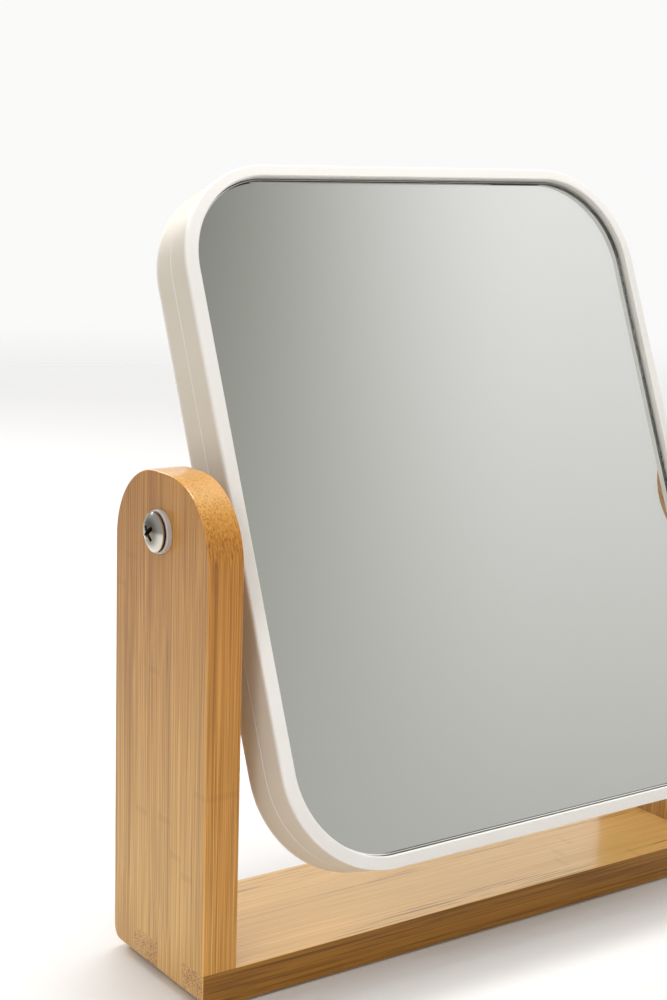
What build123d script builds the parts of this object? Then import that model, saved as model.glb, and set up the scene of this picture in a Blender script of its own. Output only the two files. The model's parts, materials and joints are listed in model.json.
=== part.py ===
"""Countertop mirror: a two-sided tilting mirror head between two bamboo posts on a bamboo base bar.

Millimetres. +Z is up, -Y is the front, +X is the right. The origin is on the table, under the
middle of the stand. Pieces of the head are drawn upright about the pivot and then tilted.
"""

from build123d import *

import os
from math import hypot

# Stand
STAND_DEPTH = 46.0
POST_THICKNESS = 10.0
POST_RISE = 14.8
POST_SHOULDER_R = 20.0
POST_EDGE_R = 0.5
BASE_THICKNESS = 9.6
BASE_REAR_EDGE_R = 3.0
BASE_FRONT_EDGE_R = 0.8
BASE_TOP_EDGE_R = 0.3
FOOT_HEIGHT = 0.5
FOOT_R = 5.5
FOOT_TAPER = 0.2
FOOT_EDGE_R = 0.15
FOOT_INSET_X = 18.0
FOOT_INSET_Y = 10.5
END_BEVEL = 2.8
FIRST_FINGER = 10.1
FINGER_WIDTH = 12.5
FINGER_CLEARANCE = 0.04

# Pivot
SWING_CLEARANCE = 15.76
SIDE_GAP = 6.5
TILT = 22.2
SCREW_R = 2.0
SCREW_GRIP = 7.55
SCREW_HEAD_R = 5.0
SCREW_RIM = 0.9
SCREW_DOME = 1.6
SCREW_TIP = 0.6
RECESS_SPAN = 5.2
RECESS_WING = 1.2
RECESS_DEPTH = 2.0
RECESS_FOOT = 0.35
RECESS_TURN = 40.0
BUSH_FLANGE_R = 5.5
BUSH_FLANGE = 1.3
BUSH_WALL = 0.95
BUSH_EDGE_R = 0.3
RUNNING_CLEARANCE = 0.05
BUSH_HOLE_CLEARANCE = 0.05
WASHER_R = 6.0
WASHER_THICKNESS = 1.0
WASHER_EDGE_R = 0.2
SPACER_R = 5.5
SPACER_EDGE_R = 0.4
INSERT_R = 2.8
INSERT_LENGTH = 10.0
INSERT_GROOVE = 0.3
INSERT_GROOVE_WIDTH = 1.2
INSERT_SETBACK = 1.2
INSERT_CLEARANCE = 0.03
THREAD_CLEARANCE = 0.02

# Mirror head
HEAD_WIDTH = 154.0
HEAD_HEIGHT = 184.8
HEAD_THICKNESS = 18.0
LIP_WIDTH = 3.4
LIP_DROP = 0.7
LIP_INNER_R = 0.35
LIP_OUTER_R = 0.7
LIP_CORNER_R = 25.0
PARTING_CHAMFER = 0.12
FLOOR_THICKNESS = 1.5
PAN_MARGIN = 25.6
PAN_CORNER_R = 16.0
PAN_DROP = 1.0
BOSS_LENGTH = 13.0
BOSS_HALF_HEIGHT = 6.0
RIB_THICKNESS = 1.6
RIB_PITCH = 40.0
RIB_RELIEF = 0.3

# Glasses
GLASS_THICKNESS = 1.8
GLASS_RECESS = 2.0
GLASS_CLEARANCE = 0.2
GLASS_ARRIS = 0.3
GLASS_BEND_R = 3000.0
REAR_GLASS_CLEARANCE = 0.086
TAPE_THICKNESS = 0.5
TAPE_WIDTH = 8.0
TAPE_INSET = 2.0
TAPE_CLEARANCE = 0.02

# Screws that join the two bezels
SHELL_SCREW_R = 1.25
SHELL_SCREW_HEAD_R = 2.3
SHELL_SCREW_HEAD = 1.3
SHELL_SCREW_LENGTH = 6.0
SHELL_SCREW_CLEARANCE = 0.15
SHELL_BOSS_R = 4.0
SHELL_SCREW_INSET = 13.0

# Worked out
HALF = HEAD_THICKNESS / 2
BASE_TOP = FOOT_HEIGHT + BASE_THICKNESS
PIVOT_HEIGHT = BASE_TOP + hypot(HEAD_HEIGHT / 2, HALF) + SWING_CLEARANCE
POST_TOP = PIVOT_HEIGHT + POST_RISE
STAND_WIDTH = HEAD_WIDTH + 2 * (SIDE_GAP + POST_THICKNESS)
POST_X = (STAND_WIDTH - POST_THICKNESS) / 2
OPENING_WIDTH = HEAD_WIDTH - 2 * LIP_WIDTH
OPENING_HEIGHT = HEAD_HEIGHT - 2 * LIP_WIDTH
OUTER_CORNER_R = LIP_CORNER_R + LIP_WIDTH
LEDGE = HALF - GLASS_RECESS - GLASS_THICKNESS - TAPE_THICKNESS
PAN = LEDGE - PAN_DROP
PAN_WIDTH = OPENING_WIDTH - 2 * PAN_MARGIN
PAN_HEIGHT = OPENING_HEIGHT - 2 * PAN_MARGIN
BUSH_R = SCREW_R + RUNNING_CLEARANCE + BUSH_WALL
INSERT_X = HEAD_WIDTH / 2 - LIP_WIDTH - INSERT_SETBACK
SCREW_SEAT = BUSH_FLANGE + RUNNING_CLEARANCE
SCREW_LENGTH = SCREW_SEAT + STAND_WIDTH / 2 - INSERT_X + SCREW_GRIP
SHELL_SEAT = LEDGE - SHELL_SCREW_HEAD - SHELL_SCREW_CLEARANCE


def place_head(part):
    """Turn a piece drawn with its height along Y and its front along +Z into its tilted place."""
    return Pos(0, 0, PIVOT_HEIGHT) * Rot(90 - TILT, 0, 0) * part


def to_rear(part):
    """Turn a front piece of the head half a turn about its height, so it faces the rear."""
    return Rot(0, 180, 0) * part


def slab(width, height, corner_r, low, high):
    """A rounded rectangle from one depth to another."""
    return Pos(0, 0, low) * extrude(RectangleRounded(width, height, corner_r), high - low)


def cylinder_z(radius, low, high):
    return Pos(0, 0, low) * Cylinder(radius, high - low, align=(Align.CENTER, Align.CENTER, Align.MIN))


def along_x(part, side):
    """Turn a pivot piece drawn with its outer end up +Z so that it points out to one side."""
    return Rot(0, 90 * side, 0) * part


def place_pivot(part, side):
    """Put a pivot piece, drawn from the outer face of the post at Z = 0, on the pivot axis."""
    return Pos(side * STAND_WIDTH / 2, 0, PIVOT_HEIGHT) * along_x(part, side)


def tongue_spans():
    """The two stretches of depth, from front to rear, that the post's tongues fill."""
    front = -STAND_DEPTH / 2 + FIRST_FINGER
    return [(front, front + FINGER_WIDTH), (front + 2 * FINGER_WIDTH, STAND_DEPTH / 2)]


def finger_spans():
    """The two stretches of depth that the base bar's fingers fill, clear of the tongues."""
    (first_low, first_high), (second_low, _) = tongue_spans()
    first = (-STAND_DEPTH / 2, first_low - FINGER_CLEARANCE)
    return [first, (first_high + FINGER_CLEARANCE, second_low - FINGER_CLEARANCE)]


def end_bevel(side):
    """A square bar set on edge at the lower corner of one end: what it overlaps is bevelled off."""
    width = hypot(END_BEVEL, END_BEVEL)
    return Pos(side * STAND_WIDTH / 2, 0, FOOT_HEIGHT) * Rot(0, 45, 0) * Box(width, 2 * STAND_DEPTH, width)


def bar_blank(length):
    """A length of the base bar with its lower edges rounded, more at the rear."""
    bar = Pos(0, 0, FOOT_HEIGHT + BASE_THICKNESS / 2) * Box(length, STAND_DEPTH, BASE_THICKNESS)
    front = bar.edges().filter_by(Axis.X).group_by(Axis.Z)[0].sort_by(Axis.Y)[0]
    bar = fillet(front, BASE_FRONT_EDGE_R)
    rear = bar.edges().filter_by(Axis.X).group_by(Axis.Z)[0].sort_by(Axis.Y)[-1]
    return fillet(rear, BASE_REAR_EDGE_R)


def make_finger(low, high, side):
    finger = Box(POST_THICKNESS, high - low, 2 * BASE_TOP)
    finger = Pos(side * POST_X, (low + high) / 2, 0) * finger & bar_blank(STAND_WIDTH)
    return finger - end_bevel(side)


def make_base_bar():
    bar = bar_blank(STAND_WIDTH - 2 * POST_THICKNESS)
    bar = fillet(bar.edges().filter_by(Axis.X).group_by(Axis.Z)[-1], BASE_TOP_EDGE_R)
    for side in (-1, 1):
        for low, high in finger_spans():
            bar += make_finger(low, high, side)
    front = bar.edges().filter_by(Axis.Z).group_by(Axis.Y)[0]
    ends = front.filter_by(lambda e: abs(e.center().X) > STAND_WIDTH / 2 - POST_EDGE_R)
    return fillet(ends, POST_EDGE_R)


def post_outline():
    """The post's outline across the depth: straight sides and rounded shoulders."""
    width, height = STAND_DEPTH, POST_TOP - BASE_TOP - FINGER_CLEARANCE
    board = Rectangle(width, height, align=(Align.CENTER, Align.MIN))
    return fillet(board.vertices().group_by(Axis.Y)[-1], POST_SHOULDER_R)


def make_post(side):
    board = extrude(Plane.YZ * post_outline(), POST_THICKNESS)
    shoulder = BASE_TOP + FINGER_CLEARANCE
    board = Pos(side * POST_X - POST_THICKNESS / 2, 0, shoulder) * board
    for low, high in tongue_spans():
        tongue = Box(POST_THICKNESS, high - low, shoulder - FOOT_HEIGHT)
        board += Pos(side * POST_X, (low + high) / 2, (FOOT_HEIGHT + shoulder) / 2) * tongue
    board -= end_bevel(side)
    low_edges = board.edges().filter_by(lambda e: e.center().Z < BASE_TOP / 2)
    rear_corner = low_edges.filter_by(lambda e: e.center().Y > STAND_DEPTH / 2 - FINGER_CLEARANCE)
    board = fillet(rear_corner, BASE_REAR_EDGE_R)
    rims = board.edges().filter_by(lambda e: abs(e.center().X - side * POST_X) > POST_THICKNESS / 3)
    board = fillet(rims.filter_by(lambda e: e.center().Z > POST_TOP / 3), POST_EDGE_R)
    hole = cylinder_z(BUSH_R + BUSH_HOLE_CLEARANCE, -POST_THICKNESS, 0)
    return board - place_pivot(hole, side)


def make_foot(x_side, y_side):
    pad = Cone(FOOT_R - FOOT_TAPER, FOOT_R, FOOT_HEIGHT, align=(Align.CENTER, Align.CENTER, Align.MIN))
    pad = fillet(pad.edges().group_by(Axis.Z)[0], FOOT_EDGE_R)
    x = STAND_WIDTH / 2 - FOOT_INSET_X
    y = STAND_DEPTH / 2 - FOOT_INSET_Y
    return Pos(x_side * x, y_side * y, 0) * pad


def screw_recess(top):
    """A cross recess that narrows towards its foot, cut down from the top of a screw head."""
    wing = loft([
        Pos(0, 0, top) * Rectangle(RECESS_SPAN, RECESS_WING),
        Pos(0, 0, top - RECESS_DEPTH) * Rectangle(RECESS_SPAN * RECESS_FOOT, RECESS_WING * RECESS_FOOT),
    ])
    return Rot(0, 0, RECESS_TURN) * (wing + Rot(0, 0, 90) * wing)


def domed_head(radius, rim, dome):
    """A screw head standing on Z = 0: a short rim and a spherical dome."""
    ball_r = (radius**2 + dome**2) / (2 * dome)
    ball = Pos(0, 0, rim + dome - ball_r) * Sphere(ball_r)
    return cylinder_z(radius, 0, rim + dome) & ball


def make_pivot_screw(side):
    head = Pos(0, 0, SCREW_SEAT) * domed_head(SCREW_HEAD_R, SCREW_RIM, SCREW_DOME)
    shank = cylinder_z(SCREW_R, SCREW_SEAT - SCREW_LENGTH, SCREW_SEAT)
    shank = chamfer(shank.edges().group_by(Axis.Z)[0], SCREW_TIP)
    screw = head + shank - screw_recess(SCREW_SEAT + SCREW_RIM + SCREW_DOME)
    return place_pivot(screw, side)


def make_outer_bush(side):
    flange = cylinder_z(BUSH_FLANGE_R, 0, BUSH_FLANGE)
    flange = fillet(flange.edges().group_by(Axis.Z)[-1], BUSH_EDGE_R)
    sleeve = cylinder_z(BUSH_R, -POST_THICKNESS, 0)
    bore = cylinder_z(SCREW_R + RUNNING_CLEARANCE, -POST_THICKNESS, BUSH_FLANGE)
    return place_pivot(flange + sleeve - bore, side)


def make_friction_washer(side):
    washer = cylinder_z(WASHER_R, -POST_THICKNESS - WASHER_THICKNESS, -POST_THICKNESS)
    washer = fillet(washer.edges(), WASHER_EDGE_R)
    bore = cylinder_z(SCREW_R + RUNNING_CLEARANCE, -POST_THICKNESS - WASHER_THICKNESS, 0)
    return place_pivot(washer - bore, side)


def make_spacer(side):
    outer = -POST_THICKNESS - WASHER_THICKNESS - RUNNING_CLEARANCE
    spacer = cylinder_z(SPACER_R, -POST_THICKNESS - SIDE_GAP, outer)
    spacer = fillet(spacer.edges().group_by(Axis.Z)[-1], SPACER_EDGE_R)
    bore = cylinder_z(SCREW_R + THREAD_CLEARANCE, -POST_THICKNESS - SIDE_GAP, outer)
    return place_pivot(spacer - bore, side)


def make_threaded_insert(side):
    outer = -STAND_WIDTH / 2 + INSERT_X
    inner = outer - INSERT_LENGTH
    insert = cylinder_z(INSERT_R, inner, outer)
    middle = (inner + outer) / 2
    groove = cylinder_z(INSERT_R, middle - INSERT_GROOVE_WIDTH / 2, middle + INSERT_GROOVE_WIDTH / 2)
    groove -= cylinder_z(INSERT_R - INSERT_GROOVE, inner, outer)
    bore = cylinder_z(SCREW_R + THREAD_CLEARANCE, inner, outer)
    return place_pivot(insert - groove - bore, side)


def shell_screw_spots():
    """Where the bezels are screwed together, across the head's width and height."""
    x = OPENING_WIDTH / 2 - SHELL_SCREW_INSET
    z = OPENING_HEIGHT / 2 - SHELL_SCREW_INSET
    return [(i * x, j * z / 2) for i in (-1, 1) for j in (-1, 1)] + [(0, -z), (0, z)]


def make_bezel_body():
    """The bezel's outside: side wall, sloped lip and the recess for the glass."""
    fold = HALF - LIP_DROP
    shell = slab(HEAD_WIDTH, HEAD_HEIGHT, OUTER_CORNER_R, 0, fold)
    shell += loft([
        Pos(0, 0, fold) * RectangleRounded(HEAD_WIDTH, HEAD_HEIGHT, OUTER_CORNER_R),
        Pos(0, 0, HALF) * RectangleRounded(OPENING_WIDTH, OPENING_HEIGHT, LIP_CORNER_R),
    ], ruled=True)
    arris = shell.edges().filter_by(lambda e: abs(e.center().Z - fold) < LIP_DROP / 10)
    shell = fillet(arris, LIP_OUTER_R)
    shell = chamfer(shell.edges().group_by(Axis.Z)[0], PARTING_CHAMFER)
    shell -= slab(OPENING_WIDTH, OPENING_HEIGHT, LIP_CORNER_R, LEDGE, HALF + LIP_DROP)
    return fillet(shell.edges().group_by(Axis.Z)[-1], LIP_INNER_R)


def make_cavity():
    """The hollow behind the ledge and the pan, less its bosses and ribs."""
    ledge_back = LEDGE - FLOOR_THICKNESS
    pan_block = (PAN_WIDTH + 2 * FLOOR_THICKNESS, PAN_HEIGHT + 2 * FLOOR_THICKNESS)
    pan_r = PAN_CORNER_R + FLOOR_THICKNESS
    hollow = slab(OPENING_WIDTH, OPENING_HEIGHT, LIP_CORNER_R, 0, ledge_back)
    hollow -= slab(*pan_block, pan_r, PAN - FLOOR_THICKNESS, ledge_back)
    for side in (-1, 1):
        boss = Box(BOSS_LENGTH, 2 * BOSS_HALF_HEIGHT, 2 * ledge_back)
        hollow -= Pos(side * (OPENING_WIDTH - BOSS_LENGTH) / 2, 0, 0) * boss
    for x, z in shell_screw_spots():
        hollow -= Pos(x, z, 0) * cylinder_z(SHELL_BOSS_R, 0, ledge_back)
    rib_height = ledge_back - RIB_RELIEF
    for step in (-1, 0, 1):
        upright = Box(RIB_THICKNESS, OPENING_HEIGHT, rib_height)
        cross = Box(OPENING_WIDTH, RIB_THICKNESS, rib_height)
        middle = RIB_RELIEF + rib_height / 2
        hollow -= Pos(step * RIB_PITCH, 0, middle) * upright
        hollow -= Pos(0, step * RIB_PITCH, middle) * cross
    return hollow


def make_pivot_pocket(side):
    """The room for the insert, gripped at its groove, and for the screw that goes into it."""
    outer = side * INSERT_X
    grip = INSERT_GROOVE_WIDTH - 2 * INSERT_CLEARANCE
    pocket = Cylinder(INSERT_R + INSERT_CLEARANCE, INSERT_LENGTH + 2 * INSERT_CLEARANCE)
    ring = Cylinder(INSERT_R + INSERT_CLEARANCE, grip)
    ring -= Cylinder(INSERT_R - INSERT_GROOVE + INSERT_CLEARANCE, grip)
    pocket = Pos(outer - side * INSERT_LENGTH / 2, 0, 0) * (Rot(0, 90, 0) * (pocket - ring))
    passage = Cylinder(SCREW_R + SHELL_SCREW_CLEARANCE, HEAD_WIDTH / 2 - INSERT_X + INSERT_LENGTH)
    middle = side * (HEAD_WIDTH / 2 + INSERT_X - INSERT_LENGTH) / 2
    return pocket + Pos(middle, 0, 0) * (Rot(0, 90, 0) * passage)


def make_bezel():
    """What the front and rear bezels share."""
    shell = make_bezel_body() - make_cavity()
    shell -= slab(PAN_WIDTH, PAN_HEIGHT, PAN_CORNER_R, PAN, LEDGE)
    for side in (-1, 1):
        shell -= make_pivot_pocket(side)
    return shell


def make_front_bezel():
    shell = make_bezel()
    depth = SHELL_SCREW_LENGTH - SHELL_SEAT + SHELL_SCREW_CLEARANCE
    for x, z in shell_screw_spots():
        shell -= Pos(x, z, 0) * cylinder_z(SHELL_SCREW_R + THREAD_CLEARANCE, 0, depth)
    return place_head(shell)


def make_rear_bezel():
    shell = make_bezel()
    for x, z in shell_screw_spots():
        hole = cylinder_z(SHELL_SCREW_R + SHELL_SCREW_CLEARANCE, 0, LEDGE)
        hole += cylinder_z(SHELL_SCREW_HEAD_R + SHELL_SCREW_CLEARANCE, SHELL_SEAT, LEDGE)
        shell -= Pos(x, z, 0) * hole
    return place_head(to_rear(shell))


def make_shell_screws():
    """The screws under the rear glass, head towards the rear."""
    screws = []
    for x, z in shell_screw_spots():
        head = cylinder_z(SHELL_SCREW_HEAD_R, SHELL_SEAT, SHELL_SEAT + SHELL_SCREW_HEAD)
        head = fillet(head.edges().group_by(Axis.Z)[-1], SHELL_SCREW_HEAD / 2)
        shank = cylinder_z(SHELL_SCREW_R, SHELL_SEAT - SHELL_SCREW_LENGTH, SHELL_SEAT)
        screw = head + chamfer(shank.edges().group_by(Axis.Z)[0], SCREW_TIP)
        screws.append(place_head(to_rear(Pos(x, z, 0) * screw)))
    return Compound(children=screws)


def glass_outline(low, high):
    width = OPENING_WIDTH - 2 * GLASS_CLEARANCE
    height = OPENING_HEIGHT - 2 * GLASS_CLEARANCE
    return slab(width, height, LIP_CORNER_R - GLASS_CLEARANCE, low, high)


def make_front_glass():
    glass = glass_outline(LEDGE + TAPE_THICKNESS, HALF - GLASS_RECESS)
    glass = chamfer(glass.edges().group_by(Axis.Z)[-1], GLASS_ARRIS)
    return place_head(glass)


def bend_centre():
    """The height of the middle of the rear glass's two spheres: its back just clears the pan's edge."""
    back_r = GLASS_BEND_R + GLASS_THICKNESS
    return LEDGE + REAR_GLASS_CLEARANCE + (back_r**2 - (PAN_WIDTH / 2) ** 2) ** 0.5


def make_rear_glass():
    """A glass of even thickness, bent slightly hollow towards the rear."""
    centre = Pos(0, 0, bend_centre())
    glass = glass_outline(PAN, HALF)
    glass &= centre * Sphere(GLASS_BEND_R + GLASS_THICKNESS)
    return place_head(to_rear(glass - centre * Sphere(GLASS_BEND_R)))


def tape_ring(top):
    width = OPENING_WIDTH - 2 * TAPE_INSET
    height = OPENING_HEIGHT - 2 * TAPE_INSET
    corner_r = LIP_CORNER_R - TAPE_INSET
    hole = slab(width - 2 * TAPE_WIDTH, height - 2 * TAPE_WIDTH, corner_r - TAPE_WIDTH, LEDGE, top)
    return slab(width, height, corner_r, LEDGE, top) - hole


def make_front_tape():
    return place_head(tape_ring(LEDGE + TAPE_THICKNESS))


def make_rear_foam():
    """The foam under the rear glass, pressed to the bend of the glass."""
    back_r = GLASS_BEND_R + GLASS_THICKNESS + TAPE_CLEARANCE
    foam = tape_ring(HALF) - Pos(0, 0, bend_centre()) * Sphere(back_r)
    return place_head(to_rear(foam))


def make_parts():
    parts = {
        "base_bar": make_base_bar(),
        "front_bezel": make_front_bezel(),
        "rear_bezel": make_rear_bezel(),
        "front_glass": make_front_glass(),
        "rear_glass": make_rear_glass(),
        "front_tape": make_front_tape(),
        "rear_foam": make_rear_foam(),
        "shell_screws": make_shell_screws(),
    }
    for side, side_name in ((-1, "left"), (1, "right")):
        parts[f"{side_name}_post"] = make_post(side)
        parts[f"{side_name}_pivot_screw"] = make_pivot_screw(side)
        parts[f"{side_name}_outer_bush"] = make_outer_bush(side)
        parts[f"{side_name}_friction_washer"] = make_friction_washer(side)
        parts[f"{side_name}_spacer"] = make_spacer(side)
        parts[f"{side_name}_threaded_insert"] = make_threaded_insert(side)
        for y_side, y_name in ((-1, "front"), (1, "rear")):
            parts[f"{y_name}_{side_name}_foot"] = make_foot(side, y_side)
    return parts


def main():
    os.makedirs("parts", exist_ok=True)
    for name, part in make_parts().items():
        export_step(part, f"parts/{name}.step")


if __name__ == "__main__":
    main()
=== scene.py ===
"""Countertop mirror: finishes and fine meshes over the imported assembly, with floor and light.

Metres. +Z is up, -Y is the front, +X is the right. The stand stays put, and the mirror head turns
about the pivot. The glasses are drawn flat, with their height along Y and their front along +Z,
and are then set into the tilted frame of the head.
"""

import json
import math

import bmesh
import bpy
from mathutils import Euler, Matrix, Vector


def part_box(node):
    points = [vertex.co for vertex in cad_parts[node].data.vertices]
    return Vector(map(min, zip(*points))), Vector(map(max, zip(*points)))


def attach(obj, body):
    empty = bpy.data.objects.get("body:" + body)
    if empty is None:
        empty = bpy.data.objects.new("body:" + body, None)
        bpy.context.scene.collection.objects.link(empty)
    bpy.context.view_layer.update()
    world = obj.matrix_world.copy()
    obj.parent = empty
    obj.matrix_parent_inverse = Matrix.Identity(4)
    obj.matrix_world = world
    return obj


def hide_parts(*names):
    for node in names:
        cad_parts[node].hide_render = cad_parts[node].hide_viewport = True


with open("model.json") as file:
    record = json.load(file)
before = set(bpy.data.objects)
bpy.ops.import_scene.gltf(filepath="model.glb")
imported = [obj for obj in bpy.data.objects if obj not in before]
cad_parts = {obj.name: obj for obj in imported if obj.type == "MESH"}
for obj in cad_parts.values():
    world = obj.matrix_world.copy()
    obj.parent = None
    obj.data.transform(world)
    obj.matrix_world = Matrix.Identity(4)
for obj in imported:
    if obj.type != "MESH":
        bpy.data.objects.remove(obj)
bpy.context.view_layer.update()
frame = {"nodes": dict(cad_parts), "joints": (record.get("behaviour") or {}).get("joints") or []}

MM = 0.001
TILT = math.radians(22.2)
PIVOT = Vector(frame["joints"][0]["pos_m"])
HEAD_FRONT = (0.0, -math.cos(TILT), math.sin(TILT))
HEAD_FRAME = Matrix.Translation(PIVOT) @ Matrix.Rotation(math.pi / 2 - TILT, 4, "X")
ALONG_X, ALONG_Y, ALONG_Z = (1, 0, 0), (0, 1, 0), (0, 0, 1)


# ---------------------------------------------------------------- node helpers


def add(tree, kind, **settings):
    """A node with its properties set."""
    node = tree.nodes.new(kind)
    for key, value in settings.items():
        setattr(node, key, value)
    return node


def feed(tree, node, **inputs):
    """Set sockets by name, or by number as in i0: a socket is linked, a plain value is written."""
    for key, value in inputs.items():
        numbered = key[0] == "i" and key[1:].isdigit()
        socket = node.inputs[int(key[1:]) if numbered else key.replace("_", " ")]
        if isinstance(value, bpy.types.NodeSocket):
            tree.links.new(value, socket)
        else:
            socket.default_value = value
    return node


def math_node(tree, operation, a, b=0.0, c=0.0, clamp=False):
    node = add(tree, "ShaderNodeMath", operation=operation, use_clamp=clamp)
    return feed(tree, node, i0=a, i1=b, i2=c).outputs[0]


def product(tree, first, *others):
    for other in others:
        first = math_node(tree, "MULTIPLY", first, other)
    return first


def total(tree, first, *others):
    for other in others:
        first = math_node(tree, "ADD", first, other)
    return first


def vector_math(tree, operation, a, b=(0.0, 0.0, 0.0)):
    node = add(tree, "ShaderNodeVectorMath", operation=operation)
    feed(tree, node, i0=a, i1=b)
    gives_number = operation in ("DOT_PRODUCT", "LENGTH", "DISTANCE")
    return node.outputs["Value" if gives_number else "Vector"]


def scaled(tree, vector, size):
    node = add(tree, "ShaderNodeVectorMath", operation="SCALE")
    return feed(tree, node, i0=vector, Scale=size).outputs[0]


def split(tree, vector):
    return feed(tree, add(tree, "ShaderNodeSeparateXYZ"), Vector=vector).outputs


def joined(tree, x, y, z=0.0):
    return feed(tree, add(tree, "ShaderNodeCombineXYZ"), X=x, Y=y, Z=z).outputs[0]


def remap(tree, value, low, high, to_low=0.0, to_high=1.0, smooth=False):
    """Carry a value from one span to another, and hold it at both ends."""
    shape = "SMOOTHSTEP" if smooth else "LINEAR"
    node = add(tree, "ShaderNodeMapRange", interpolation_type=shape)
    return feed(tree, node, i0=value, i1=low, i2=high, i3=to_low, i4=to_high).outputs[0]


def soft_mask(tree, value, nothing, full):
    """A mask with soft ends: 0 at one value and 1 at the other."""
    return remap(tree, value, nothing, full, smooth=True)


def blend(tree, factor, a, b, kind="MIX"):
    """Mix two colours."""
    node = add(tree, "ShaderNodeMix", data_type="RGBA", blend_type=kind)
    return feed(tree, node, i0=factor, i6=a, i7=b).outputs[2]


def blend_values(tree, factor, a, b):
    """Mix two numbers."""
    node = add(tree, "ShaderNodeMix", data_type="FLOAT")
    return feed(tree, node, i0=factor, i2=a, i3=b).outputs[0]


def noise_at(tree, place, scale, detail=2.0, roughness=0.5):
    node = add(tree, "ShaderNodeTexNoise")
    feed(tree, node, Vector=place, Scale=scale, Detail=detail, Roughness=roughness, Distortion=0.0)
    return node.outputs["Fac"]


def contrast(tree, value, gain):
    """Spread a value about its middle, which is a half."""
    return product(tree, math_node(tree, "SUBTRACT", value, 0.5), gain)


def new_group(name, inputs, outputs):
    """An empty shader node group with its sockets, and its two end nodes."""
    group = bpy.data.node_groups.new(name, "ShaderNodeTree")
    for socket, kind, value in inputs:
        item = group.interface.new_socket(socket, in_out="INPUT", socket_type=kind)
        if value is not None:
            item.default_value = value
    for socket, kind in outputs:
        group.interface.new_socket(socket, in_out="OUTPUT", socket_type=kind)
    return group, group.nodes.new("NodeGroupInput").outputs, group.nodes.new("NodeGroupOutput")


FLOAT, COLOUR, VECTOR = "NodeSocketFloat", "NodeSocketColor", "NodeSocketVector"


# ---------------------------------------------------------------- shared effects

# Turns of each pattern in a metre: across the fibres twice, then along them.
SWAY_PITCH = (30, 30, 16)
BROAD_PITCH = (130, 130, 6)
STREAK_PITCH = (1900, 1900, 8)
FINE_PITCH = (4200, 4200, 22)
LINE_PITCH = (2600, 2600, 6)
CROWD_PITCH = (170, 170, 6)
BREAK_PITCH = (900, 900, 60)
SWAY_REACH = 0.0012

# How far each pattern pushes the wood from its light to its dark tone.
STREAK_GAIN, FINE_GAIN, BROAD_GAIN, STRIP_GAIN = 2.2, 2.4, 0.8, 0.28
LINE_EDGES = (0.58, 0.64)

# The node bands of the stem: each strip has one, somewhere over this height.
NODE_LOWEST, NODE_SPREAD = 0.03, 0.09
NODE_BAND = (0.0014, 0.0004)
NODE_DEPTH = 0.10

# The fibre bundles, which are dots on an end face and dashes along the grain.
BUNDLE_SCALE, BUNDLE_DRAWN_OUT, BUNDLE_SCATTER = 1450.0, 0.012, 0.9
BUNDLE_EDGES = (0.38, 0.25)
DASH_EDGES, DASH_MOST = (0.48, 0.64), 0.7
DOT_EDGES, DOT_SPREAD, DOT_LEAST = (0.35, 0.6), 0.45, 0.55
BREAK_EDGES = (0.3, 0.55)

# Relief and gloss: the fibres stand up, and the bundles are pits that are deeper on an end face.
RIDGE_SHARE = 0.35
PIT_ON_SIDE, PIT_MORE_ON_END = 0.25, 0.35
WOOD_ROUGHNESS, STREAK_ROUGHNESS = 0.24, 0.2


def grain_noise(group, place, pitch, detail, roughness=0.5):
    drawn_out = vector_math(group, "MULTIPLY", place, pitch)
    return noise_at(group, drawn_out, 1.0, detail, roughness)


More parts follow.
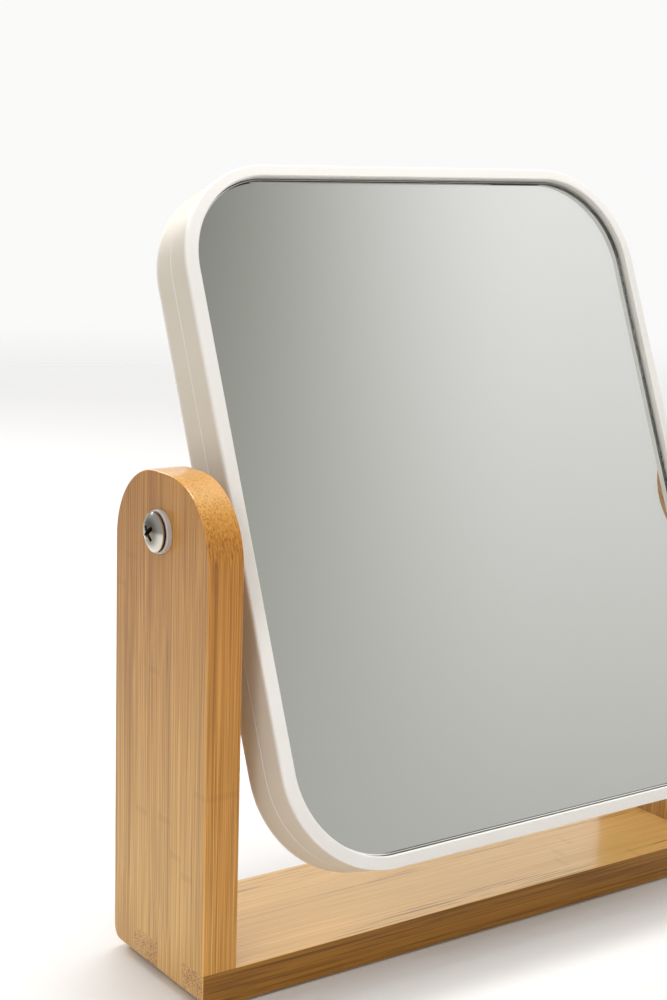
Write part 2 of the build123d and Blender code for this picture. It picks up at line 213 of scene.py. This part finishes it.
def make_bamboo_group():
    """Laminated bamboo seen from any side: fibres run along the place's Z, and end as dots."""
    group, inp, out = new_group(
        "Bamboo grain",
        [
            ("Place", VECTOR, None),
            ("End Face", FLOAT, 0.0),
            ("Light Wood", COLOUR, (0.60, 0.38, 0.20, 1)),
            ("Dark Wood", COLOUR, (0.36, 0.19, 0.075, 1)),
            ("Fibre", COLOUR, (0.12, 0.05, 0.016, 1)),
            ("Strip Width", FLOAT, 0.0058),
            ("Fibre Strength", FLOAT, 0.5),
            ("Grain Strength", FLOAT, 0.5),
            ("Crowding", FLOAT, 0.0),
            ("Line Strength", FLOAT, 0.6),
        ],
        [("Color", COLOUR), ("Roughness", FLOAT), ("Height", FLOAT)],
    )
    # The fibres sway a little, and the board is glued up from strips of their own tone.
    sway = product(
        group, contrast(group, grain_noise(group, inp["Place"], SWAY_PITCH, 1.0), 1.0), SWAY_REACH
    )
    place = vector_math(group, "ADD", inp["Place"], joined(group, sway, sway))
    parts = split(group, place)
    strip = math_node(
        group, "FLOOR", math_node(group, "DIVIDE", parts["Y"], inp["Strip Width"])
    )
    strip_noise = add(group, "ShaderNodeTexWhiteNoise", noise_dimensions="1D")
    strip_tone = feed(group, strip_noise, W=strip).outputs["Value"]

    broad = grain_noise(group, place, BROAD_PITCH, 2.0)
    streak = grain_noise(group, place, STREAK_PITCH, 2.0, 0.6)
    fine = grain_noise(group, place, FINE_PITCH, 1.5, 0.6)
    grain = total(
        group,
        contrast(group, streak, STREAK_GAIN),
        contrast(group, fine, FINE_GAIN),
        contrast(group, broad, BROAD_GAIN),
        contrast(group, strip_tone, STRIP_GAIN),
    )
    grain = product(group, grain, product(group, inp["Grain Strength"], 2.0))
    darkness = math_node(group, "ADD", grain, 0.5, clamp=True)
    wood = blend(group, darkness, inp["Light Wood"], inp["Dark Wood"])

    lines = soft_mask(group, grain_noise(group, place, LINE_PITCH, 1.0), *LINE_EDGES)
    line = product(group, lines, inp["Line Strength"], inp["Fibre Strength"])
    wood = blend(group, line, wood, inp["Fibre"])

    joint = math_node(group, "MULTIPLY_ADD", strip_tone, NODE_SPREAD, NODE_LOWEST)
    level = math_node(group, "ABSOLUTE", math_node(group, "SUBTRACT", parts["Z"], joint))
    band = product(group, soft_mask(group, level, *NODE_BAND), NODE_DEPTH)
    wood = blend(group, band, wood, inp["Fibre"])

    bundles = add(group, "ShaderNodeTexVoronoi", feature="F1")
    drawn_out = vector_math(group, "MULTIPLY", place, (1, 1, BUNDLE_DRAWN_OUT))
    feed(group, bundles, Vector=drawn_out, Scale=BUNDLE_SCALE, Randomness=BUNDLE_SCATTER)
    dot = soft_mask(group, bundles.outputs["Distance"], *BUNDLE_EDGES)
    crowd = total(group, grain_noise(group, place, CROWD_PITCH, 1.0), inp["Crowding"])
    dashes = product(group, soft_mask(group, crowd, *DASH_EDGES), DASH_MOST)
    dots = soft_mask(group, crowd, *DOT_EDGES)
    dots = math_node(group, "MULTIPLY_ADD", dots, DOT_SPREAD, DOT_LEAST)
    share = blend_values(group, inp["End Face"], dashes, dots)
    unbroken = soft_mask(group, grain_noise(group, place, BREAK_PITCH, 1.0), *BREAK_EDGES)
    dot = product(group, dot, share, unbroken)
    wood = blend(group, product(group, dot, inp["Fibre Strength"]), wood, inp["Fibre"])

    ridges = product(group, streak, RIDGE_SHARE)
    ridges = math_node(group, "MULTIPLY_ADD", fine, RIDGE_SHARE, ridges)
    pit_depth = math_node(group, "MULTIPLY_ADD", inp["End Face"], PIT_MORE_ON_END, PIT_ON_SIDE)
    pits = product(group, dot, pit_depth)
    feed(
        group,
        out,
        Color=wood,
        Roughness=math_node(group, "MULTIPLY_ADD", streak, STREAK_ROUGHNESS, WOOD_ROUGHNESS),
        Height=math_node(group, "SUBTRACT", ridges, pits),
    )
    return group


WIDE_SCALE, WIDE_SHARE = 60.0, 0.7
HAZE_SCALE, HAZE_SHARE, HAZE_HEIGHT = 2500.0, 0.3, 0.5


def make_moulding_group():
    """The faint unevenness of a moulded or painted surface, and its fine haze."""
    group, inp, out = new_group(
        "Moulded skin",
        [("Place", VECTOR, None), ("Scale", FLOAT, 1.0)],
        [("Mottle", FLOAT), ("Height", FLOAT)],
    )
    place = scaled(group, inp["Place"], inp["Scale"])
    wide = noise_at(group, place, WIDE_SCALE)
    haze = noise_at(group, place, HAZE_SCALE)
    mottle = product(group, haze, HAZE_SHARE)
    mottle = math_node(group, "MULTIPLY_ADD", wide, WIDE_SHARE, mottle)
    feed(group, out, Mottle=mottle)
    feed(group, out, Height=math_node(group, "MULTIPLY_ADD", haze, HAZE_HEIGHT, wide))
    return group


BAMBOO_GRAIN = make_bamboo_group()
MOULDED_SKIN = make_moulding_group()


# ---------------------------------------------------------------- materials

MOTTLE_SPAN = (0.3, 0.7)
CLEAR_IOR = 1.52


def new_material(name):
    """A material with its principled shader, and the piece's own rest coordinates."""
    material = bpy.data.materials.new(name)
    material.use_nodes = True
    tree = material.node_tree
    shader = tree.nodes["Principled BSDF"]
    place = add(tree, "ShaderNodeTexCoord").outputs["Object"]
    return material, tree, shader, place


def set_plain(shader, **values):
    """Numbers that are the same all over the surface, on the shader's own sockets."""
    for key, value in values.items():
        shader.inputs[key.replace("_", " ")].default_value = value


def use_group(tree, group, **inputs):
    node = add(tree, "ShaderNodeGroup", node_tree=group)
    return feed(tree, node, **inputs).outputs


def bump(tree, shader, height, strength, distance):
    node = add(tree, "ShaderNodeBump")
    feed(tree, node, Height=height, Strength=strength, Distance=distance)
    tree.links.new(node.outputs[0], shader.inputs["Normal"])


def facing(tree, axis):
    """How squarely the surface faces along one axis of the frame, from 0 to 1."""
    normal = add(tree, "ShaderNodeTexCoord").outputs["Normal"]
    return math_node(tree, "ABSOLUTE", vector_math(tree, "DOT_PRODUCT", normal, axis))


def tinted(colour, share):
    """The same colour, lighter or darker."""
    return tuple(share * part for part in colour[:3]) + (1,)


# Where a face counts as an end, a sawn side, the top or an arris, by how squarely it faces.
END_FACING, SAWN_FACING, TOP_FACING = (0.25, 0.8), (0.5, 0.95), (0.3, 0.85)
ARRIS_FACING, ARRIS_MOST = (0.2, 0.45), 0.5
# The arris colour is a painted highlight; the shoulder colour, with the heights it spans, is
# painted shade.
ARRIS_HIGHLIGHT = (0.80, 0.42, 0.13, 1)
SHOULDER_SHADE = (0.72, 0.58, 0.42, 1)
CROWDED_FROM, CROWDED_FULL = -0.012, -0.023
FADE_FROM, FADE_FULL = 0.02, 0.125
EDGE_LACQUER = 0.06


def bamboo(name, grain_axis, woods, lacquer, fibres, lines, crowded=0.0, top_shade=0.0):
    """Lacquered bamboo, with a light and a dark tone for its broad, sawn and end faces."""
    material, tree, shader, rest = new_material(name)
    place, along = rest, ALONG_Z
    if grain_axis == "X":
        turned = add(tree, "ShaderNodeMapping")
        place = feed(tree, turned, Vector=rest, Rotation=(0, -math.pi / 2, 0)).outputs[0]
        along = ALONG_X
    end = soft_mask(tree, facing(tree, along), *END_FACING)
    sawn = soft_mask(tree, facing(tree, ALONG_Y), *SAWN_FACING)
    light, dark = [
        blend(tree, end, blend(tree, sawn, broad_tone, sawn_tone), end_tone)
        for broad_tone, sawn_tone, end_tone in zip(woods["broad"], woods["sawn"], woods["end"])
    ]
    parts = split(tree, rest)
    front = soft_mask(tree, parts["Y"], CROWDED_FROM, CROWDED_FULL)
    wood = use_group(
        tree,
        BAMBOO_GRAIN,
        Place=place,
        End_Face=end,
        Light_Wood=light,
        Dark_Wood=dark,
        Fibre_Strength=fibres,
        Line_Strength=lines,
        Crowding=product(tree, front, crowded),
    )
    # Painted highlight on the arrises, and painted shade that darkens a post towards its shoulder.
    arris = product(tree, facing(tree, ALONG_X), facing(tree, ALONG_Y))
    arris = product(tree, soft_mask(tree, arris, *ARRIS_FACING), ARRIS_MOST)
    colour = blend(tree, arris, wood["Color"], ARRIS_HIGHLIGHT)
    top_shade_mask = remap(tree, parts["Z"], FADE_FROM, FADE_FULL, 0.0, top_shade)
    colour = blend(tree, top_shade_mask, colour, SHOULDER_SHADE, "MULTIPLY")
    flat_top = soft_mask(tree, facing(tree, ALONG_Z), *TOP_FACING)
    coat = math_node(tree, "MULTIPLY_ADD", flat_top, lacquer, EDGE_LACQUER)
    feed(tree, shader, Base_Color=colour, Roughness=wood["Roughness"], Coat_Weight=coat)
    set_plain(shader, Specular_IOR_Level=0.3, Coat_Roughness=0.14)
    bump(tree, shader, wood["Height"], 0.35, 0.0002)
    return material


# Painted shade on the head's side wall: where the wall lies about the pivot, how it faces, and its
# shaded colour.
WALL_HALF_DEPTH, WALL_FULL_DEPTH = 8.0 * MM, 6.6 * MM
WALL_FACING = (0.5, 0.15)
WALL_SHADE = (0.80, 0.75, 0.66, 1)
SHEEN_SPREAD = 0.04


def white_plastic(name, colour, roughness):
    """Satin white moulding, with painted shade on the head's side wall."""
    material, tree, shader, place = new_material(name)
    skin = use_group(tree, MOULDED_SKIN, Place=place)
    mottle = remap(tree, skin["Mottle"], *MOTTLE_SPAN)
    shade = blend(tree, mottle, colour, tinted(colour, 0.97))
    from_pivot = vector_math(tree, "SUBTRACT", place, PIVOT)
    depth = math_node(tree, "ABSOLUTE", vector_math(tree, "DOT_PRODUCT", from_pivot, HEAD_FRONT))
    middle = soft_mask(tree, depth, WALL_HALF_DEPTH, WALL_FULL_DEPTH)
    # Painted shade, darker and warmer, on the side wall.
    wall = product(tree, middle, soft_mask(tree, facing(tree, HEAD_FRONT), *WALL_FACING))
    shade = blend(tree, wall, shade, WALL_SHADE, "MULTIPLY")
    least, most = roughness - SHEEN_SPREAD, roughness + SHEEN_SPREAD
    sheen = remap(tree, skin["Mottle"], *MOTTLE_SPAN, least, most)
    feed(tree, shader, Base_Color=shade, Roughness=sheen)
    set_plain(
        shader,
        Subsurface_Weight=0.12,
        Subsurface_Radius=(0.004, 0.003, 0.002),
        Subsurface_Scale=0.5,
    )
    bump(tree, shader, skin["Height"], 0.05, 0.0001)
    return material


def metal(name, colour, roughness, spread):
    material, tree, shader, place = new_material(name)
    skin = use_group(tree, MOULDED_SKIN, Place=place, Scale=2.0)
    sheen = remap(tree, skin["Mottle"], *MOTTLE_SPAN, roughness, roughness + spread)
    feed(tree, shader, Base_Color=colour, Roughness=sheen)
    set_plain(shader, Metallic=1.0)
    bump(tree, shader, skin["Height"], 0.02, 0.0001)
    return material


SCREW_DOME_R = 8.61 * MM
SCREW_TOP_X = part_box("right_pivot_screw")[1].x
SCREW_HEAD_THICK = 3.0 * MM
RECESS_EDGE, RECESS_DEEP = 0.05 * MM, 0.4 * MM
# The plating is darker within these distances of the head's axis.
DARKER_EDGE_R, DARKER_FULL_R = 4.6 * MM, 2.4 * MM
PLATING_SHEEN, RECESS_ROUGHER = (0.12, 0.2), 0.3
BRIGHT_PLATING = (0.62, 0.60, 0.54, 1)
DARKER_PLATING = (0.24, 0.22, 0.18, 1)
# Painted shade in the driver's recess.
RECESS_SHADE = (0.05, 0.035, 0.022, 1)


def screw_chrome(name):
    """Plating that is darker towards the driver's recess, with painted shade making the recess
    itself nearly black.
    """
    material, tree, shader, place = new_material(name)
    skin = use_group(tree, MOULDED_SKIN, Place=place, Scale=2.0)
    parts = split(tree, place)
    outward = math_node(tree, "ABSOLUTE", parts["X"])
    spot = joined(tree, outward, parts["Y"], parts["Z"])
    dome_middle = (SCREW_TOP_X - SCREW_DOME_R, PIVOT.y, PIVOT.z)
    reach = vector_math(tree, "DISTANCE", spot, dome_middle)
    below_dome = soft_mask(
        tree, reach, SCREW_DOME_R - RECESS_EDGE, SCREW_DOME_R - RECESS_DEEP
    )
    head = math_node(tree, "GREATER_THAN", outward, SCREW_TOP_X - SCREW_HEAD_THICK)
    recess = product(tree, below_dome, head)
    off_axis = vector_math(tree, "DISTANCE", spot, (SCREW_TOP_X, PIVOT.y, PIVOT.z))
    darker_middle = soft_mask(tree, off_axis, DARKER_EDGE_R, DARKER_FULL_R)
    plating = blend(tree, darker_middle, BRIGHT_PLATING, DARKER_PLATING)
    sheen = remap(tree, skin["Mottle"], *MOTTLE_SPAN, *PLATING_SHEEN)
    feed(
        tree,
        shader,
        Base_Color=blend(tree, recess, plating, RECESS_SHADE),
        Roughness=math_node(tree, "MULTIPLY_ADD", recess, RECESS_ROUGHER, sheen),
    )
    set_plain(shader, Metallic=1.0)
    return material


SHEET_TINT = (0.985, 0.995, 0.985, 1)
DUST = (0.9, 0.9, 0.88, 1)
DUST_SCALE, DUST_EDGES, DUST_RARITY, DUST_ROUGHNESS = 260.0, (0.05, 0.02), 0.88, 0.35


def clear_glass():
    """The sheet in front of the silvering, with a faint haze of dust."""
    material, tree, shader, place = new_material("mirror_sheet")
    specks = add(tree, "ShaderNodeTexVoronoi", feature="F1")
    feed(tree, specks, Vector=place, Scale=DUST_SCALE)
    picks = feed(tree, add(tree, "ShaderNodeSeparateColor"), i0=specks.outputs["Color"])
    lone = math_node(tree, "GREATER_THAN", picks.outputs[0], DUST_RARITY)
    speck = product(tree, remap(tree, specks.outputs["Distance"], *DUST_EDGES), lone)
    feed(
        tree,
        shader,
        Base_Color=blend(tree, speck, SHEET_TINT, DUST),
        Roughness=product(tree, speck, DUST_ROUGHNESS),
    )
    set_plain(shader, Transmission_Weight=1.0, IOR=CLEAR_IOR)
    return material


def mirror_silver():
    """The silvering behind the sheet, faintly cloudy."""
    material, tree, shader, place = new_material("mirror_silver")
    skin = use_group(tree, MOULDED_SKIN, Place=place, Scale=0.3)
    bright, cloudy = (0.935, 0.94, 0.925, 1), (0.925, 0.93, 0.915, 1)
    feed(tree, shader, Base_Color=blend(tree, skin["Mottle"], bright, cloudy))
    set_plain(shader, Metallic=1.0, Roughness=0.0)
    return material


CHIP_SCALE, CHIP_TONES, CHIP_SHEEN = 900.0, (0.4, 0.7), (0.12, 0.3)


def glass_edge():
    """The seamed edge of the glass, dark green where it looks into the sheet."""
    material, tree, shader, place = new_material("mirror_edge")
    chips = noise_at(tree, place, CHIP_SCALE)
    green, chipped = (0.012, 0.02, 0.018, 1), (0.06, 0.075, 0.065, 1)
    feed(
        tree,
        shader,
        Base_Color=blend(tree, remap(tree, chips, *CHIP_TONES), green, chipped),
        Roughness=remap(tree, chips, *MOTTLE_SPAN, *CHIP_SHEEN),
    )
    set_plain(shader, Specular_IOR_Level=0.6)
    return material


def nylon(name, colour, clear):
    material, tree, shader, place = new_material(name)
    skin = use_group(tree, MOULDED_SKIN, Place=place, Scale=3.0)
    mottle = remap(tree, skin["Mottle"], 0.35, 0.65)
    feed(
        tree,
        shader,
        Base_Color=blend(tree, mottle, colour, tinted(colour, 0.92)),
        Roughness=remap(tree, skin["Mottle"], *MOTTLE_SPAN, 0.28, 0.4),
    )
    set_plain(shader, Transmission_Weight=clear, IOR=CLEAR_IOR)
    bump(tree, shader, skin["Height"], 0.06, 0.0001)
    return material


def rubber(name, colour):
    material, tree, shader, place = new_material(name)
    skin = use_group(tree, MOULDED_SKIN, Place=place, Scale=1.5)
    mottle = remap(tree, skin["Mottle"], *MOTTLE_SPAN)
    feed(
        tree,
        shader,
        Base_Color=blend(tree, mottle, colour, tinted(colour, 1.6)),
        Roughness=remap(tree, skin["Mottle"], *MOTTLE_SPAN, 0.6, 0.8),
    )
    bump(tree, shader, skin["Height"], 0.25, 0.0001)
    return material


# Light and dark tone of each kind of face.
POST_WOODS = {
    "broad": ((0.73, 0.44, 0.15, 1), (0.42, 0.215, 0.052, 1)),
    "sawn": ((0.73, 0.385, 0.095, 1), (0.47, 0.205, 0.035, 1)),
    "end": ((0.93, 0.59, 0.17, 1), (0.70, 0.38, 0.07, 1)),
}
# The base's tones paint in light and shade: its broad top is paler, and its sawn front and back
# much darker, than the posts' wood of the same stock, for the light on the top and the shade under
# the head.
BASE_WOODS = {
    "broad": ((0.88, 0.54, 0.18, 1), (0.74, 0.42, 0.125, 1)),
    "sawn": ((0.36, 0.158, 0.018, 1), (0.20, 0.076, 0.005, 1)),
    "end": ((0.68, 0.40, 0.15, 1), (0.46, 0.24, 0.07, 1)),
}
POST_WOOD = bamboo(
    "post_bamboo", "Z", POST_WOODS, lacquer=0.5, fibres=0.38, lines=0.9, top_shade=1.0
)
BASE_WOOD = bamboo(
    "base_bamboo", "X", BASE_WOODS, lacquer=0.75, fibres=0.95, lines=0.1, crowded=0.3
)
SHELL_WHITE = white_plastic("bezel_white", (0.79, 0.765, 0.725, 1), 0.38)
CHROME = screw_chrome("chrome")
ZINC = metal("zinc", (0.62, 0.62, 0.60, 1), 0.25, 0.2)
BRASS = metal("brass", (0.62, 0.44, 0.18, 1), 0.22, 0.15)
SILVER = mirror_silver()
CLEAR_GLASS = clear_glass()
EDGE = glass_edge()
CLEAR_NYLON = nylon("clear_nylon", (0.92, 0.84, 0.80, 1), 0.45)
WHITE_NYLON = nylon("white_nylon", (0.74, 0.73, 0.70, 1), 0.0)
FOAM = rubber("foam", (0.55, 0.55, 0.53, 1))
FOOT = rubber("foot_rubber", (0.035, 0.033, 0.032, 1))


# ---------------------------------------------------------------- meshes

ARC_STEPS = 20
STRAIGHT_STEPS = 12
SHARP_ANGLE = math.radians(20)
GLASS_THICK = 1.8 * MM
GLASS_CORNER = 24.8 * MM
GLASS_FACE = 7.0 * MM
ARRIS = 0.3 * MM
SILVER_GAP = 0.01 * MM
SILVER_THICK = 0.04 * MM
REAR_DISH_R = 3.0
REAR_DISH_FACE = 6.2 * MM
INNER_SHARES = [share / 10 for share in range(9, 0, -1)] + [0.02]


def rounded_rectangle(width, height, corner):
    """Points round a rectangle with rounded corners, the same count for every size."""
    arcs = []
    for turn, (sx, sy) in enumerate(((1, 1), (-1, 1), (-1, -1), (1, -1))):
        centre = Vector((sx * (width / 2 - corner), sy * (height / 2 - corner)))
        angles = [math.pi / 2 * (turn + step / ARC_STEPS) for step in range(ARC_STEPS + 1)]
        arcs.append([centre + corner * Vector((math.cos(a), math.sin(a))) for a in angles])
    points = []
    for arc, following in zip(arcs, arcs[1:] + arcs[:1]):
        points += arc
        points += [
            arc[-1].lerp(following[0], step / STRAIGHT_STEPS) for step in range(1, STRAIGHT_STEPS)
        ]
    return [tuple(point) for point in points]


def build(name, rings, body, nodes, materials, ring_materials, turn):
    """A closed piece from matching rings of points, in the frame of the head."""
    mesh = bmesh.new()
    loops = [[mesh.verts.new(point) for point in ring] for ring in rings]
    for low, high, material in zip(loops, loops[1:], ring_materials):
        for i in range(len(low)):
            j = (i + 1) % len(low)
            face = mesh.faces.new((low[i], low[j], high[j], high[i]))
            face.material_index = material
            face.smooth = True
    ends = ((loops[0][::-1], ring_materials[0]), (loops[-1], ring_materials[-1]))
    for loop, material in ends:
        face = mesh.faces.new(loop)
        face.material_index = material
        face.smooth = True
    bmesh.ops.recalc_face_normals(mesh, faces=mesh.faces)
    for edge in mesh.edges:
        edge.smooth = edge.calc_face_angle() < SHARP_ANGLE
    mesh.transform(HEAD_FRAME @ Matrix.Rotation(turn, 4, "Y"))
    data = bpy.data.meshes.new(name)
    mesh.to_mesh(data)
    mesh.free()
    piece = bpy.data.objects.new(name, data)
    bpy.context.scene.collection.objects.link(piece)
    for material in materials:
        data.materials.append(material)
    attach(piece, body)
    if nodes:
        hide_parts(*nodes)
    return piece


def head_size(node, thickness):
    """Width and height of a flat piece of the head, worked out from its tilted box."""
    low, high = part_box(node)
    return high.x - low.x, (high.z - low.z - thickness * math.sin(TILT)) / math.cos(TILT)


def flat_face(x, y):
    """Depth of the plain glass's face, which is the same all over."""
    return GLASS_FACE


def dished_face(x, y):
    """Depth of the magnifying glass's hollow face, which stands higher towards its rim."""
    return REAR_DISH_FACE + REAR_DISH_R - math.sqrt(REAR_DISH_R**2 - x**2 - y**2)


def face_rings(size, inset, drop, face):
    """Rings from a little way in from the rim to the middle, so that a dished face is smooth."""
    width, height = size
    points = rounded_rectangle(width - 2 * inset, height - 2 * inset, GLASS_CORNER - inset)
    return [
        [(share * x, share * y, face(share * x, share * y) - drop) for x, y in points]
        for share in [1] + INNER_SHARES
    ]


def make_mirror_glass(name, node, face, turn):
    """A clear sheet with a ground rim, and the silvering on its back as a piece of its own."""
    size = head_size("front_glass", GLASS_THICK)
    inner = len(INNER_SHARES)
    back = GLASS_THICK - SILVER_GAP - SILVER_THICK
    front = face_rings(size, ARRIS, 0, face)[::-1]
    rim = [face_rings(size, 0, drop, face)[0] for drop in (ARRIS, back - ARRIS / 2)]
    rear = face_rings(size, ARRIS / 2, back, face)
    kinds = [0] * (inner + 1) + [1, 1] + [0] * inner
    build(
        f"{name}_sheet",
        front + rim + rear,
        "mirror_head",
        [node],
        [CLEAR_GLASS, EDGE],
        kinds,
        turn,
    )
    silver_front = face_rings(size, ARRIS / 2, back + SILVER_GAP, face)[::-1]
    silver_rear = face_rings(size, ARRIS / 2, GLASS_THICK, face)
    kinds = [0] * inner + [1] * (inner + 1)
    build(
        f"{name}_silvering",
        silver_front + silver_rear,
        "mirror_head",
        [],
        [SILVER, EDGE],
        kinds,
        turn,
    )


def dress(node, material):
    """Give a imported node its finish."""
    for slot in frame["nodes"][node].material_slots:
        slot.material = material


make_mirror_glass("front_mirror", "front_glass", flat_face, 0.0)
make_mirror_glass("rear_mirror", "rear_glass", dished_face, math.pi)
FINISHES = {
    "base_bar": BASE_WOOD,
    "left_post": POST_WOOD,
    "right_post": POST_WOOD,
    "front_bezel": SHELL_WHITE,
    "rear_bezel": SHELL_WHITE,
    "front_tape": FOAM,
    "rear_foam": FOAM,
    "shell_screws": ZINC,
}
for side in ("left", "right"):
    FINISHES[f"{side}_pivot_screw"] = CHROME
    FINISHES[f"{side}_outer_bush"] = CLEAR_NYLON
    FINISHES[f"{side}_friction_washer"] = WHITE_NYLON
    FINISHES[f"{side}_spacer"] = SHELL_WHITE
    FINISHES[f"{side}_threaded_insert"] = BRASS
    for end in ("front", "rear"):
        FINISHES[f"{end}_{side}_foot"] = FOOT
for node, material in FINISHES.items():
    dress(node, material)


# ---------------------------------------------------------------- floor, light and camera

FLOOR_PALE = (0.745, 0.735, 0.725, 1)
FLOOR_RADIUS = 3.0
FLOOR_FADE_FROM, FLOOR_FADE_TO = 0.5, 1.6

# Ways into the room: to its left, towards the slanting fade, and across and up that fade.
LEFTWARD = (-0.92, 0.39, 0)
FADE_WAY = (0.62, -0.68, 0.39)
FADE_ACROSS = (0.8205, 0.4286, -0.379)
FADE_RISE = (0.09, 0.5575, 0.825)
FADE_EDGES = (-0.105, 0.119)
FADE_REACH = (0.70, 0.93)
LEFT_REACH = (0.0, 0.6)
RISE_LIMIT = 0.3
DIM_SLOPE, DIM_LEVEL = -0.5, 0.315
BRIGHT_SLOPE, BRIGHT_LEVEL = 1.0, 0.68
TINT_LEVELS = (0.35, 0.75)
ROOM_BRIGHT = (0.955, 0.955, 0.95, 1)
ROOM_DIM = (0.40, 0.40, 0.395, 1)
FADE_WARM = (0.985, 0.97, 0.90, 1)
FADE_COOL = (1, 0.985, 0.985, 1)

LIGHT_AIM = (0, 0, 0.05)
# Place, width, height and watts.
SOFTBOXES = {
    "overhead_softbox": ((0.10, 0.12, 1.1), 0.4, 0.4, 7.2),
    "key_softbox": ((-0.9, -0.45, 0.75), 0.5, 0.5, 3.3),
    "rear_softbox": ((-0.2, 0.8, 0.6), 0.5, 0.4, 3.2),
}

LENS_MM = 64.946
NEAR_CLIP, FAR_CLIP = 0.02, 50.0
CAMERA_PLACE = (-0.30893, -0.37799, 0.21556)
CAMERA_TURN = (78.5462, -1.6616, -34.9114)


def make_floor():
    """A pale floor that fades into the surroundings far from the mirror."""
    mesh = bmesh.new()
    bmesh.ops.create_circle(mesh, cap_ends=True, segments=96, radius=FLOOR_RADIUS)
    data = bpy.data.meshes.new("floor")
    mesh.to_mesh(data)
    mesh.free()
    floor = bpy.data.objects.new("floor", data)
    bpy.context.scene.collection.objects.link(floor)
    material, tree, shader, place = new_material("studio_floor")
    reach = vector_math(tree, "LENGTH", place)
    solid = remap(tree, reach, FLOOR_FADE_FROM, FLOOR_FADE_TO, 1.0, 0.0, smooth=True)
    feed(tree, shader, Base_Color=FLOOR_PALE, Roughness=0.6, Alpha=solid)
    data.materials.append(material)


def make_surroundings():
    """Bright pale surroundings, dimmer to the left, with a grey fade where the mirror looks."""
    world = bpy.data.worlds.new("studio")
    bpy.context.scene.world = world
    world.use_nodes = True
    tree = world.node_tree
    shade = tree.nodes["Background"]
    way = add(tree, "ShaderNodeTexCoord").outputs["Generated"]

    def along(axis):
        return vector_math(tree, "DOT_PRODUCT", way, axis)

    leftward = soft_mask(tree, along(LEFTWARD), *LEFT_REACH)
    room = blend(tree, leftward, ROOM_BRIGHT, ROOM_DIM)
    rise = math_node(tree, "MINIMUM", along(FADE_RISE), RISE_LIMIT)
    rise = math_node(tree, "MAXIMUM", rise, -RISE_LIMIT)
    dim = math_node(tree, "MULTIPLY_ADD", rise, DIM_SLOPE, DIM_LEVEL)
    bright = math_node(tree, "MULTIPLY_ADD", rise, BRIGHT_SLOPE, BRIGHT_LEVEL)
    level = blend_values(tree, soft_mask(tree, along(FADE_ACROSS), *FADE_EDGES), dim, bright)
    tint = blend(tree, remap(tree, level, *TINT_LEVELS), FADE_WARM, FADE_COOL)
    fade = scaled(tree, tint, level)
    colour = blend(tree, soft_mask(tree, along(FADE_WAY), *FADE_REACH), room, fade)
    tree.links.new(colour, shade.inputs["Color"])
    shade.inputs["Strength"].default_value = 1.0


def make_softbox(name, place, width, height, power):
    light = bpy.data.lights.new(name, "AREA")
    light.shape = "RECTANGLE"
    light.size, light.size_y = width, height
    light.energy = power
    lamp = bpy.data.objects.new(name, light)
    bpy.context.scene.collection.objects.link(lamp)
    lamp.location = place
    lamp.rotation_mode = "QUATERNION"
    lamp.rotation_quaternion = (Vector(LIGHT_AIM) - Vector(place)).to_track_quat("-Z", "Y")


def make_camera():
    lens = bpy.data.cameras.new("camera")
    lens.lens = LENS_MM
    lens.clip_start, lens.clip_end = NEAR_CLIP, FAR_CLIP
    camera = bpy.data.objects.new("camera", lens)
    bpy.context.scene.collection.objects.link(camera)
    camera.location = CAMERA_PLACE
    camera.rotation_euler = Euler([math.radians(angle) for angle in CAMERA_TURN])
    bpy.context.scene.camera = camera


make_floor()
make_surroundings()
for name, (place, width, height, power) in SOFTBOXES.items():
    make_softbox(name, place, width, height, power)
make_camera()
bpy.context.scene.view_settings.view_transform = "Standard"
bpy.context.view_layer.update()
